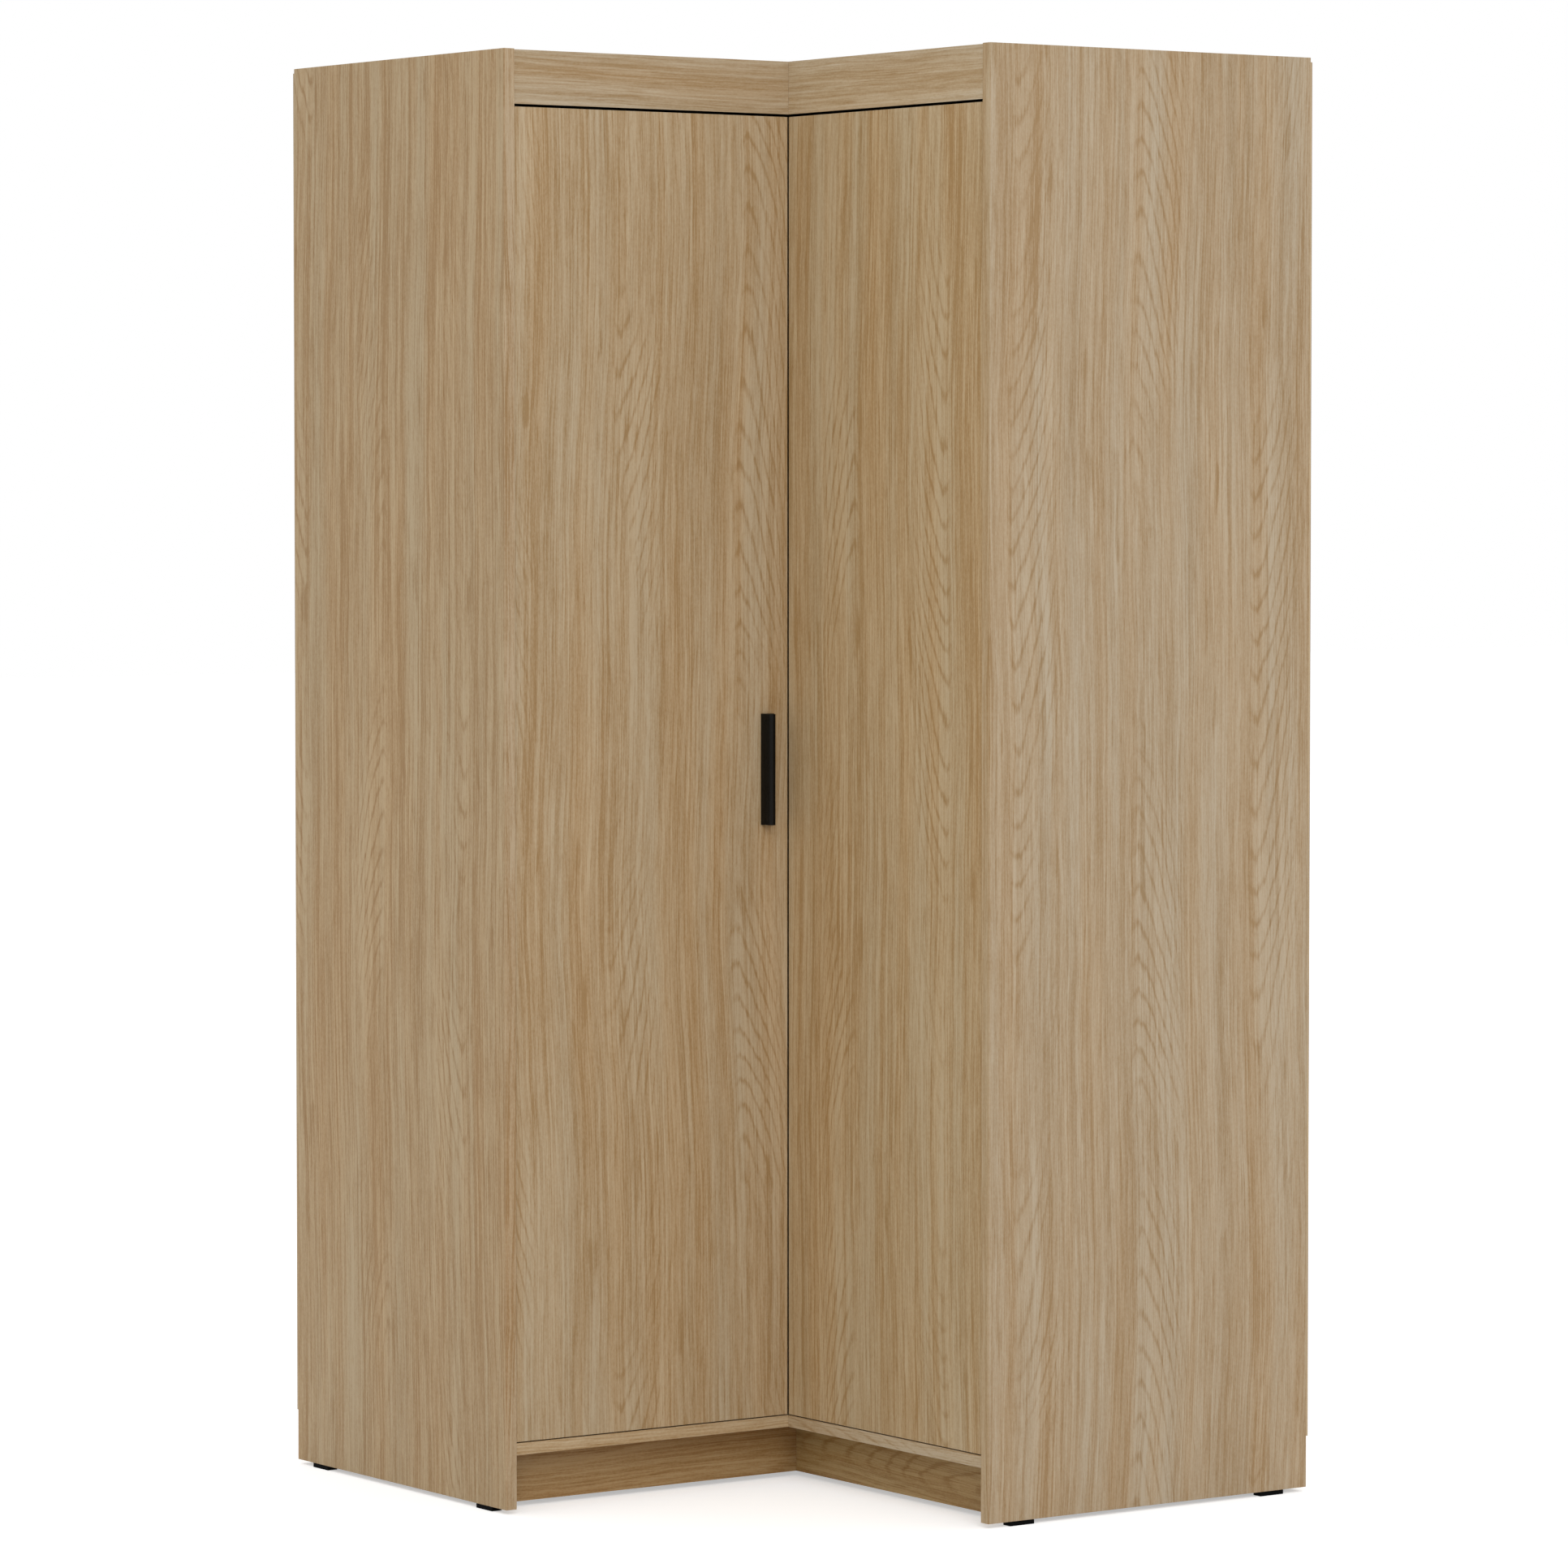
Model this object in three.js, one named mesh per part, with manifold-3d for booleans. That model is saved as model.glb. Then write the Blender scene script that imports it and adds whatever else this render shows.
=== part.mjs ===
// A corner wardrobe in light oak melamine: two equal arms that meet in a square back corner, each with
// an end panel, a recessed plinth, a rail above the door and one tall inset door.
// Both arms are drawn in the left arm's frame, X along the arm from the end panel's outer face and
// Y from front to back, and the right arm is its mirror image in the wardrobe's diagonal.
// Millimetres, +Z up, origin on the floor under the middle of the footprint.
import * as THREE from "three";
import { mergeVertices } from "three/addons/utils/BufferGeometryUtils.js";
import Module from "manifold-3d";

// Boards and overall sizes
const board = 16;
const backThickness = 3;
const armSpan = 975;
const armDepth = 528;
const panelHeight = 1894;
const jointGap = 0.25;
const cutOverrun = 1;

// Feet
const footHeight = 6;
const footLength = 40;
const footWidth = 15;
const frontFootInset = 35;
const rearFootInset = 38;
const cornerFootInset = 60;

// Fronts
const frontSetback = 2;
const railHeight = 70;
const railDrop = 1;
const bottomBoardLevel = 70;
const plinthRecess = 44;
const plinthLift = 1.5;

// Backs, corner stiles and hat shelf
const backFoot = 68;
const backDrop = 6;
const stileWidth = 100;
const hatSpace = 300;
const shelfSetback = 20;

// Doors
const doorSideGap = 1.2;
const doorMeetingGap = 1.2;
const doorTopGap = 3.5;
const doorBottomGap = 1.5;

// Hanging rods
const rodRadius = 12.5;
const rodWall = 1.5;
const rodReach = 620;
const rodDrop = 50;
const rodClearance = 0.3;
const rodDepthShare = 0.5;
const socketFlangeRadius = 24;
const socketFlange = 3;
const socketWall = 3;
const socketDepth = 14;
const bracketThickness = 14;
const bracketRim = 5;
const bracketFlange = 4;
const bracketFlangeLength = 56;
const bracketStem = 22;

// Hinges, four to a door, in a frame at the door's front corner
const hingeCount = 4;
const hingeEndDistance = 100;
const cupCentre = 22.5;
const cupRadius = 17.5;
const cupWall = 1.5;
const cupFloor = 0.8;
const cupHoleDepth = 12;
const cupFit = 0.3;
const rimRadius = 19;
const rimThickness = 0.75;
const cupWingLength = 52;
const cupWingWidth = 19;
const runningGap = 0.4;
const linkThickness = 2;
const linkWidth = 11;
const noseWall = 1.5;
const noseShy = THREE.MathUtils.degToRad(3);
const noseEnd = THREE.MathUtils.degToRad(90);
const armLength = 54;
const armHeight = 12;
const plateThickness = 3.4;
const plateWidth = 20;
const plateLength = 50;
const plateSetback = 51;

// Handle, on the left door beside the meeting edge
const handleLength = 148;
const handleEdgeDistance = 25.4;
const handleBaseWidth = 18;
const handleBase = 5;
const handleReach = 20.5;
const handleLean = 5.3;
const bladeThickness = 4;
const screwSpacing = 128;
const screwRadius = 2;
const screwClearance = 0.3;
const screwHeadRadius = 4;
const screwHead = 2.4;
const screwBite = 3;
const screwPlaceShare = 0.5;

// The handle's profile from base to tip: how far it has leant, and how far out of the door it is
const leanShares = [0, 0.06, 0.24, 0.56, 1];
const reachShares = [0, 0.3, 0.55, 0.79, 1];

// Facets of the round pieces
const rodFacets = 24;
const cupFacets = 20;
const screwFacets = 12;
const arcSteps = 8;

// Places that follow from the sizes
const frontEdge = armSpan - armDepth;
const doorFace = frontEdge + frontSetback;
const doorBack = doorFace + board;
const panelBottom = footHeight;
const panelTop = footHeight + panelHeight;
const boardEnd = board + jointGap;
const carcassTop = panelTop - railDrop;
const railBottom = carcassTop - railHeight;
const bottomUnder = panelBottom + bottomBoardLevel;
const bottomTop = bottomUnder + board;
const topUnder = carcassTop - board;
const shelfTop = topUnder - hatSpace;
const shelfUnder = shelfTop - board;
const shelfFront = doorBack + shelfSetback;
const rearFace = armSpan - board;
const stileEdge = rearFace - stileWidth;
const doorEdge = board + doorSideGap;
const meetingEdge = doorFace - doorMeetingGap;
const doorBottom = bottomTop + doorBottomGap;
const doorTop = railBottom - doorTopGap;
const doorMiddle = (doorBottom + doorTop) / 2;
const overallSpan = armSpan + backThickness;

// Radii and angles of the curved hinge link, which turns about the door's front corner
const cupBore = cupRadius - cupWall;
const cupBottom = board - cupHoleDepth + cupFit;
const rimTop = board + jointGap + rimThickness;
const noseHalf = linkWidth / 2 + cupFit + noseWall;
const rimNear = cupCentre - Math.sqrt(cupBore ** 2 - noseHalf ** 2);
const linkInner = Math.hypot(rimNear, rimTop) + runningGap;
const linkOuter = linkInner + linkThickness;
const webInner = linkOuter + cupFit;
const webOuter = webInner + noseWall;
const linkTip = Math.asin((cupBottom + cupFloor + runningGap) / linkInner);

const oak = new THREE.MeshStandardMaterial({ color: "#a8916f", roughness: 0.55, metalness: 0 });
const oakFront = new THREE.MeshStandardMaterial({ color: "#a18968", roughness: 0.55, metalness: 0 });
const hardboard = new THREE.MeshStandardMaterial({ color: "#b59c78", roughness: 0.8, metalness: 0 });
const steel = new THREE.MeshStandardMaterial({ color: "#b9bbbd", roughness: 0.35, metalness: 1 });
const chrome = new THREE.MeshStandardMaterial({ color: "#d6d8da", roughness: 0.12, metalness: 1 });
const black = new THREE.MeshStandardMaterial({ color: "#1b1815", roughness: 0.45, metalness: 0.3 });
const rubber = new THREE.MeshStandardMaterial({ color: "#141312", roughness: 0.8, metalness: 0 });

const wasm = await Module();
wasm.setup();

function toSolid(geometry) {
  const bare = geometry.clone();
  bare.deleteAttribute("normal");
  bare.deleteAttribute("uv");
  const merged = mergeVertices(bare);
  const vertProperties = merged.attributes.position.array;
  const triVerts = new Uint32Array(merged.index.array);
  return new wasm.Manifold(new wasm.Mesh({ numProp: 3, vertProperties, triVerts }));
}

function toGeometry(solid) {
  const { vertProperties, triVerts } = solid.getMesh();
  const geometry = new THREE.BufferGeometry();
  geometry.setAttribute("position", new THREE.BufferAttribute(vertProperties, 3));
  geometry.setIndex(new THREE.BufferAttribute(triVerts, 1));
  geometry.computeVertexNormals();
  return geometry;
}

function named(name, geometry, material) {
  const mesh = new THREE.Mesh(geometry, material.clone());
  mesh.name = name;
  return mesh;
}

// A box between two values on each axis.
function boxBetween([x0, x1], [y0, y1], [z0, z1]) {
  const geometry = new THREE.BoxGeometry(x1 - x0, y1 - y0, z1 - z0);
  geometry.translate((x0 + x1) / 2, (y0 + y1) / 2, (z0 + z1) / 2);
  return geometry;
}

function boardBetween(name, xs, ys, zs, material = oak) {
  const geometry = new THREE.BoxGeometry(xs[1] - xs[0], ys[1] - ys[0], zs[1] - zs[0]);
  const mesh = named(name, geometry, material);
  mesh.position.set((xs[0] + xs[1]) / 2, (ys[0] + ys[1]) / 2, (zs[0] + zs[1]) / 2);
  return mesh;
}

// A cylinder that runs along Y from one value to the other, its axis through x, z.
function pinAlongY(radius, x, z, [y0, y1], facets) {
  const geometry = new THREE.CylinderGeometry(radius, radius, y1 - y0, facets);
  geometry.translate(x, (y0 + y1) / 2, z);
  return geometry;
}

// A slice of a ring about Z, as thick as its width, centred on z = 0.
function ringSector(inner, outer, from, to, width) {
  const shape = new THREE.Shape();
  shape.absarc(0, 0, outer, from, to, false);
  shape.absarc(0, 0, inner, to, from, true);
  shape.closePath();
  const extrude = { depth: width, bevelEnabled: false, curveSegments: arcSteps };
  const geometry = new THREE.ExtrudeGeometry(shape, extrude);
  geometry.translate(0, 0, -width / 2);
  return geometry;
}

const hingeHeights = Array.from({ length: hingeCount }, (_, i) => {
  const run = doorTop - doorBottom - 2 * hingeEndDistance;
  return doorBottom + hingeEndDistance + (run * i) / (hingeCount - 1);
});

// Boards that only one arm has: each L-shaped level is a long board and a short one.
function makeLevels() {
  const levels = new THREE.Group();
  const shortEnd = doorFace - jointGap;
  const topFront = doorBack + jointGap;
  const bottom = [bottomUnder + jointGap, bottomTop];
  levels.add(boardBetween("bottom_board_long", [boardEnd, armSpan], [doorFace, armSpan], bottom));
  levels.add(boardBetween("bottom_board_short", [doorFace, armSpan], [boardEnd, shortEnd], bottom));
  const top = [topUnder, carcassTop];
  levels.add(boardBetween("top_board_long", [boardEnd, armSpan], [topFront, armSpan], top));
  levels.add(boardBetween("top_board_short", [topFront, armSpan], [boardEnd, doorBack], top));
  // The long hat shelf is notched round the two corner stiles.
  const outline = new THREE.Shape();
  outline.moveTo(boardEnd, shelfFront);
  outline.lineTo(armSpan, shelfFront);
  outline.lineTo(armSpan, stileEdge - jointGap);
  outline.lineTo(rearFace - jointGap, stileEdge - jointGap);
  outline.lineTo(rearFace - jointGap, rearFace - jointGap);
  outline.lineTo(stileEdge - jointGap, rearFace - jointGap);
  outline.lineTo(stileEdge - jointGap, armSpan);
  outline.lineTo(boardEnd, armSpan);
  outline.closePath();
  const shelf = new THREE.ExtrudeGeometry(outline, { depth: board, bevelEnabled: false });
  const longShelf = named("hat_shelf_long", shelf, oak);
  longShelf.position.z = shelfUnder;
  levels.add(longShelf);
  const shelfEnd = shelfFront - jointGap;
  const level = [shelfUnder, shelfTop];
  levels.add(boardBetween("hat_shelf_short", [shelfFront, armSpan], [boardEnd, shelfEnd], level));
  return levels;
}

// End panel, rail, plinths, corner stile and back of one arm. The rails, plinths, rear boards and
// stiles of the two arms butt in the corner, so the left arm's run past the right arm's.
function makeCarcass(side, overlap) {
  const carcass = new THREE.Group();
  const panel = [panelBottom, panelTop];
  carcass.add(boardBetween(`${side}_end_panel`, [0, board], [frontEdge, armSpan], panel));
  const plinthFront = doorFace + plinthRecess;
  const plinth = [panelBottom + plinthLift, bottomUnder];
  const plinthEnd = plinthFront - jointGap + overlap;
  const plinthDepth = [plinthFront, plinthFront + board];
  carcass.add(boardBetween(`front_plinth_${side}`, [boardEnd, plinthEnd], plinthDepth, plinth));
  const railEnd = doorFace - jointGap + overlap;
  const rail = [railBottom, carcassTop];
  carcass.add(boardBetween(`top_rail_${side}`, [boardEnd, railEnd], [doorFace, doorBack], rail));
  const rearEnd = rearFace - jointGap + overlap;
  const rear = [rearFace, armSpan];
  const rearPlinth = [panelBottom, bottomUnder];
  carcass.add(boardBetween(`rear_plinth_${side}`, [boardEnd, rearEnd], rear, rearPlinth));
  const stile = [bottomTop + jointGap, topUnder - jointGap];
  carcass.add(boardBetween(`corner_stile_${side}`, [stileEdge, rearEnd], rear, stile));
  const back = [armSpan + jointGap, overallSpan];
  const backRun = [jointGap, armSpan];
  const backHeight = [panelBottom + backFoot, panelTop - backDrop];
  carcass.add(boardBetween(`${side}_back_panel`, backRun, back, backHeight, hardboard));
  return carcass;
}

function makeFeet(side) {
  const feet = new THREE.Group();
  const level = [0, footHeight - jointGap];
  const across = [(board - footWidth) / 2, (board + footWidth) / 2];
  const front = frontEdge + frontFootInset;
  const rear = armSpan - rearFootInset;
  const corner = rearFace - cornerFootInset;
  const under = across.map((place) => rearFace + place);
  const along = [front, front + footLength];
  const behind = [rear - footLength, rear];
  const cornerRun = [corner - footLength, corner];
  feet.add(boardBetween(`${side}_foot_front`, across, along, level, rubber));
  feet.add(boardBetween(`${side}_foot_rear`, across, behind, level, rubber));
  feet.add(boardBetween(`${side}_foot_corner`, cornerRun, under, level, rubber));
  return feet;
}

// Hanging rod along the arm, held in a socket on the end panel and a bracket under the hat shelf.
function makeRod(side) {
  const rod = new THREE.Group();
  rod.position.set(boardEnd, doorBack + (armSpan - doorBack) * rodDepthShare, shelfUnder - rodDrop);
  const bore = rodRadius - rodWall;
  const start = socketFlange + rodClearance;
  const ring = [
    new THREE.Vector2(bore, start),
    new THREE.Vector2(rodRadius, start),
    new THREE.Vector2(rodRadius, rodReach),
    new THREE.Vector2(bore, rodReach),
    new THREE.Vector2(bore, start),
  ];
  const tube = named(`hanging_rod_${side}`, new THREE.LatheGeometry(ring, rodFacets), chrome);
  tube.rotation.z = -Math.PI / 2;
  rod.add(tube);
  const seat = rodRadius + rodClearance;
  const cup = [
    new THREE.Vector2(0, 0),
    new THREE.Vector2(socketFlangeRadius, 0),
    new THREE.Vector2(socketFlangeRadius, socketFlange),
    new THREE.Vector2(seat + socketWall, socketFlange),
    new THREE.Vector2(seat + socketWall, socketDepth),
    new THREE.Vector2(seat, socketDepth),
    new THREE.Vector2(seat, socketFlange),
    new THREE.Vector2(0, socketFlange),
  ];
  const socket = named(`rod_socket_${side}`, new THREE.LatheGeometry(cup, rodFacets), steel);
  socket.rotation.z = -Math.PI / 2;
  rod.add(socket);
  const half = bracketFlangeLength / 2;
  const top = rodDrop - jointGap;
  const stem = bracketStem / 2;
  const rim = seat + bracketRim;
  const shoulder = Math.acos(stem / rim);
  const outline = new THREE.Shape();
  outline.moveTo(half, top - bracketFlange);
  outline.lineTo(half, top);
  outline.lineTo(-half, top);
  outline.lineTo(-half, top - bracketFlange);
  outline.lineTo(-stem, top - bracketFlange);
  outline.absarc(0, 0, rim, Math.PI - shoulder, 2 * Math.PI + shoulder, false);
  outline.lineTo(stem, top - bracketFlange);
  outline.closePath();
  const eye = new THREE.Path();
  eye.absarc(0, 0, seat, 0, 2 * Math.PI, true);
  outline.holes.push(eye);
  const extrude = { depth: bracketThickness, bevelEnabled: false, curveSegments: rodFacets };
  const hanger = new THREE.ExtrudeGeometry(outline, extrude);
  const bracket = named(`rod_bracket_${side}`, hanger, steel);
  bracket.rotation.set(Math.PI / 2, Math.PI / 2, 0);
  bracket.position.x = rodReach - bracketThickness;
  rod.add(bracket);
  return rod;
}

// A concealed hinge's cup: pressed into the door, with a thin wing screwed to the door's back.
function makeCup(name) {
  const floor = cupBottom + cupFloor;
  const seat = board + jointGap;
  const profile = [
    new THREE.Vector2(0, cupBottom),
    new THREE.Vector2(cupRadius, cupBottom),
    new THREE.Vector2(cupRadius, seat),
    new THREE.Vector2(rimRadius, seat),
    new THREE.Vector2(rimRadius, rimTop),
    new THREE.Vector2(cupBore, rimTop),
    new THREE.Vector2(cupBore, floor),
    new THREE.Vector2(0, floor),
  ];
  const bowl = new THREE.LatheGeometry(profile, cupFacets);
  const halfWide = cupWingWidth / 2;
  const halfLong = cupWingLength / 2;
  const wing = boxBetween([-halfWide, halfWide], [seat, rimTop], [-halfLong, halfLong]);
  const mouth = pinAlongY(cupBore, 0, 0, [seat - cutOverrun, rimTop + cutOverrun], cupFacets);
  const cup = toSolid(bowl).add(toSolid(wing).subtract(toSolid(mouth)));
  const mesh = named(name, toGeometry(cup), steel);
  mesh.position.x = cupCentre;
  return mesh;
}

// The hinge's arm: a curved nose that the link slides in, on a mounting plate on the end panel.
function makeHingeArm(name) {
  const noseWidth = 2 * noseHalf;
  const slotWidth = linkWidth + 2 * cupFit;
  const noseFrom = linkTip + noseShy;
  const over = cutOverrun / linkInner;
  const shell = toSolid(ringSector(linkInner, webOuter, noseFrom, noseEnd, noseWidth));
  const way = ringSector(linkInner - cutOverrun, webInner, noseFrom - over, noseEnd + over, slotWidth);
  const wall = jointGap - doorSideGap;
  const reach = [webInner, webInner + armLength];
  const strap = boxBetween([0, armHeight], reach, [-noseHalf, noseHalf]);
  const acrossPlate = [plateSetback - plateWidth / 2, plateSetback + plateWidth / 2];
  const alongPlate = [-plateLength / 2, plateLength / 2];
  const plate = boxBetween([wall, wall + plateThickness], acrossPlate, alongPlate);
  const arm = shell.subtract(toSolid(way)).add(toSolid(strap)).add(toSolid(plate));
  return named(name, toGeometry(arm), steel);
}

function makeHinges(side) {
  const hinges = new THREE.Group();
  hingeHeights.forEach((height, i) => {
    const hinge = new THREE.Group();
    hinge.position.set(doorEdge, doorFace, height);
    hinge.add(makeCup(`${side}_hinge_cup_${i + 1}`));
    hinge.add(makeHingeArm(`${side}_hinge_arm_${i + 1}`));
    const sector = ringSector(linkInner, linkOuter, linkTip, noseEnd, linkWidth);
    hinge.add(named(`${side}_hinge_link_${i + 1}`, sector, steel));
    hinges.add(hinge);
  });
  return hinges;
}

const handleX = meetingEdge - handleEdgeDistance - handleBaseWidth;
const screwX = handleX + bladeThickness + (handleBaseWidth - bladeThickness) * screwPlaceShare;
const screwHeights = [doorMiddle - screwSpacing / 2, doorMiddle + screwSpacing / 2];

function makeDoor(side, drilled) {
  const back = [doorBack - cupHoleDepth, doorBack + cutOverrun];
  const through = [doorFace - cutOverrun, doorBack + cutOverrun];
  let door = toSolid(boxBetween([doorEdge, meetingEdge], [doorFace, doorBack], [doorBottom, doorTop]));
  for (const height of hingeHeights) {
    const hole = pinAlongY(cupRadius + cupFit, doorEdge + cupCentre, height, back, cupFacets);
    door = door.subtract(toSolid(hole));
  }
  for (const height of drilled) {
    const hole = pinAlongY(screwRadius + screwClearance, screwX, height, through, screwFacets);
    door = door.subtract(toSolid(hole));
  }
  return named(`${side}_door`, toGeometry(door), oakFront);
}

// A blade handle with a leaning, curved grip on a flat base, and the two screws that hold it.
function makeHandle() {
  const handle = new THREE.Group();
  const outline = new THREE.Shape();
  const curve = (side) => leanShares.map((lean, i) => {
    const x = handleX + side + handleLean * lean;
    return [x, handleReach * reachShares[i]];
  });
  const outer = curve(0);
  const inner = curve(bladeThickness).filter(([, reach]) => reach > handleBase);
  const base = [
    [handleX + bladeThickness, handleBase],
    [handleX + handleBaseWidth, handleBase],
    [handleX + handleBaseWidth, 0],
  ];
  const points = [...outer, ...inner.reverse(), ...base];
  points.forEach(([x, y], i) => (i ? outline.lineTo(x, y) : outline.moveTo(x, y)));
  outline.closePath();
  const extrude = { depth: handleLength, bevelEnabled: false };
  const bar = new THREE.ExtrudeGeometry(outline, extrude);
  bar.rotateX(Math.PI);
  bar.translate(0, doorFace - jointGap, doorMiddle + handleLength / 2);
  const bite = [doorFace - jointGap - screwBite - screwClearance, doorFace + cutOverrun];
  let grip = toSolid(bar);
  for (const height of screwHeights) {
    grip = grip.subtract(
      toSolid(pinAlongY(screwRadius + screwClearance, screwX, height, bite, screwFacets)),
    );
  }
  handle.add(named("handle", toGeometry(grip), black));
  screwHeights.forEach((height, i) => {
    const seat = doorBack + jointGap;
    const shank = pinAlongY(
      screwRadius, screwX, height, [doorFace - jointGap - screwBite, seat + screwHead], screwFacets,
    );
    const head = pinAlongY(screwHeadRadius, screwX, height, [seat, seat + screwHead], screwFacets);
    const screw = toSolid(shank).add(toSolid(head));
    handle.add(named(`handle_screw_${i + 1}`, toGeometry(screw), steel));
  });
  return handle;
}

// One arm with everything that both arms have.
function makeArm(side, overlap, drilled) {
  const arm = new THREE.Group();
  arm.add(makeCarcass(side, overlap), makeFeet(side), makeRod(side));
  arm.add(makeHinges(side), makeDoor(side, drilled));
  return arm;
}

const wardrobe = new THREE.Group();
const leftArm = makeArm("left", board + jointGap, screwHeights);
leftArm.add(makeLevels(), makeHandle());
const rightArm = makeArm("right", 0, []);
rightArm.rotation.z = Math.PI / 2;
rightArm.scale.y = -1;
wardrobe.add(leftArm, rightArm);
wardrobe.position.set(-overallSpan / 2, -overallSpan / 2, 0);

export default wardrobe;
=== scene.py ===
import math

import bpy
import numpy as np
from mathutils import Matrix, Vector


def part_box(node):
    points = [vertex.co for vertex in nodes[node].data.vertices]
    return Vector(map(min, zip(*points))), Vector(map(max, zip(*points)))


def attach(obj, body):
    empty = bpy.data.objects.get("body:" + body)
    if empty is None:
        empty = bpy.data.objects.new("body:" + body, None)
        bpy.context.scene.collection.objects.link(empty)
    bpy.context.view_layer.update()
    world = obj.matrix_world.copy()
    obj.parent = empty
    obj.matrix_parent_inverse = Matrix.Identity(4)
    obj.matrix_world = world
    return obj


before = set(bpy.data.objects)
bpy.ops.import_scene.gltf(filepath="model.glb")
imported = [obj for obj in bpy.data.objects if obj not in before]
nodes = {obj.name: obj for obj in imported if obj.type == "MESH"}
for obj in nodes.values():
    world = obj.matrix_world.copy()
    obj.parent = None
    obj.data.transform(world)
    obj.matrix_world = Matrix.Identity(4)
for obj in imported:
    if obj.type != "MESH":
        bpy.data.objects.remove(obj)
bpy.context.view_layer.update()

# Camera.
# The photograph was taken from eye height, a little left of the wardrobe's open inner corner. The
# view falls by a small tilt and a little lens shift, so the boards' edges stay nearly upright.
view_place = (-4.9015, -6.9558, 1.3538)
view_turn, view_tilt = -35.067, 2.387
lens_length, film_width, lens_shift = 145.64, 36.0, -0.03
view_reach = 100.0
camera_data = bpy.data.cameras.new("photo_camera")
camera_data.sensor_width = film_width
camera_data.lens = lens_length
camera_data.shift_y = lens_shift
camera_data.clip_end = view_reach
camera = bpy.data.objects.new("photo_camera", camera_data)
camera.location = view_place
camera.rotation_euler = (math.radians(90 - view_tilt), 0, math.radians(view_turn))
bpy.context.scene.collection.objects.link(camera)
bpy.context.scene.camera = camera
bpy.context.scene.view_settings.view_transform = "Standard"


# Floor and light.
# A white studio floor under a soft even sky. Both look white to the camera and in reflections,
# while the light that falls on the oak stays at a plain level.
class Wire:
    """One socket of a material. Arithmetic on it adds Math nodes to the same material."""

    def __init__(self, tree, socket=None):
        self.tree, self.socket = tree, socket

    def node(self, kind, settings=None, inputs=None, out=0):
        """Adds a node, sets it up, fills or links its inputs, and gives back one output."""
        made = self.tree.nodes.new("ShaderNode" + kind)
        for name, value in (settings or {}).items():
            if name == "stops":
                ramp = made.color_ramp
                ramp.elements.remove(ramp.elements[1])
                ramp.elements[0].position, ramp.elements[0].color = value[0][0], (*value[0][1], 1)
                for place, colour in value[1:]:
                    ramp.elements.new(place).color = (*colour, 1)
            else:
                setattr(made, name, value)
        for name, value in (inputs or {}).items():
            if isinstance(value, Wire):
                self.tree.links.new(value.socket, made.inputs[name])
            else:
                made.inputs[name].default_value = value
        return Wire(self.tree, made.outputs[out])

    def pick(self, name):
        """Another output of the node that this socket belongs to."""
        return Wire(self.tree, self.socket.node.outputs[name])

    def math(self, operation, *values):
        """Adds a Math node over values and wires."""
        return self.node("Math", {"operation": operation}, dict(enumerate(values)))

    def __add__(self, other):
        return self.math("ADD", self, other)

    def __sub__(self, other):
        return self.math("SUBTRACT", self, other)

    def __rsub__(self, other):
        return self.math("SUBTRACT", other, self)

    def __mul__(self, other):
        return self.math("MULTIPLY", self, other)

    def __truediv__(self, other):
        return self.math("DIVIDE", self, other)

    __radd__ = __add__
    __rmul__ = __mul__


def new_material(name):
    """A material with an empty node tree, and a wire that adds nodes to it."""
    material = bpy.data.materials.new(name)
    material.use_nodes = True
    material.node_tree.nodes.clear()
    return material, Wire(material.node_tree)


def finish_with(shader, kind="Material"):
    """Joins a shader to the output of its material, or of the world."""
    end = shader.tree.nodes.new("ShaderNodeOutput" + kind)
    shader.tree.links.new(shader.socket, end.inputs["Surface"])


def seen_mask(w):
    """1 where a ray comes straight from the camera or off a glossy or clear surface."""
    path = w.node("LightPath", out="Is Camera Ray")
    glossy, clear = path.pick("Is Glossy Ray"), path.pick("Is Transmission Ray")
    return path.math("MAXIMUM", path.math("MAXIMUM", path, glossy), clear)


white = (1, 1, 1, 1)
floor_tone, floor_glow = (0.8, 0.8, 0.8, 1), 0.45
floor_half = 30.0
floor_mesh = bpy.data.meshes.new("studio_floor")
across = np.array([-1.0, 1.0, 1.0, -1.0]) * floor_half
along = np.array([-1.0, -1.0, 1.0, 1.0]) * floor_half
floor_mesh.from_pydata(np.stack([across, along, 0 * across], 1).tolist(), [], [(0, 1, 2, 3)])
studio_floor = bpy.data.objects.new("studio_floor", floor_mesh)
bpy.context.scene.collection.objects.link(studio_floor)
floor_paint, w = new_material("studio_floor")
paper = w.node("BsdfDiffuse", inputs={"Color": floor_tone})
glow = w.node("Emission", inputs={"Color": white, "Strength": seen_mask(w) * floor_glow})
finish_with(w.node("AddShader", inputs={0: paper, 1: glow}))
floor_mesh.materials.append(floor_paint)

sky_level = 0.77
world = bpy.data.worlds.new("studio_sky")
bpy.context.scene.world = world
world.use_nodes = True
world.node_tree.nodes.clear()
w = Wire(world.node_tree)
sky_strength = seen_mask(w) * (1 - sky_level) + sky_level
finish_with(w.node("Background", inputs={"Color": white, "Strength": sky_strength}), "World")

lamp_target = (0.0, 0.0, 1.0)
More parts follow.
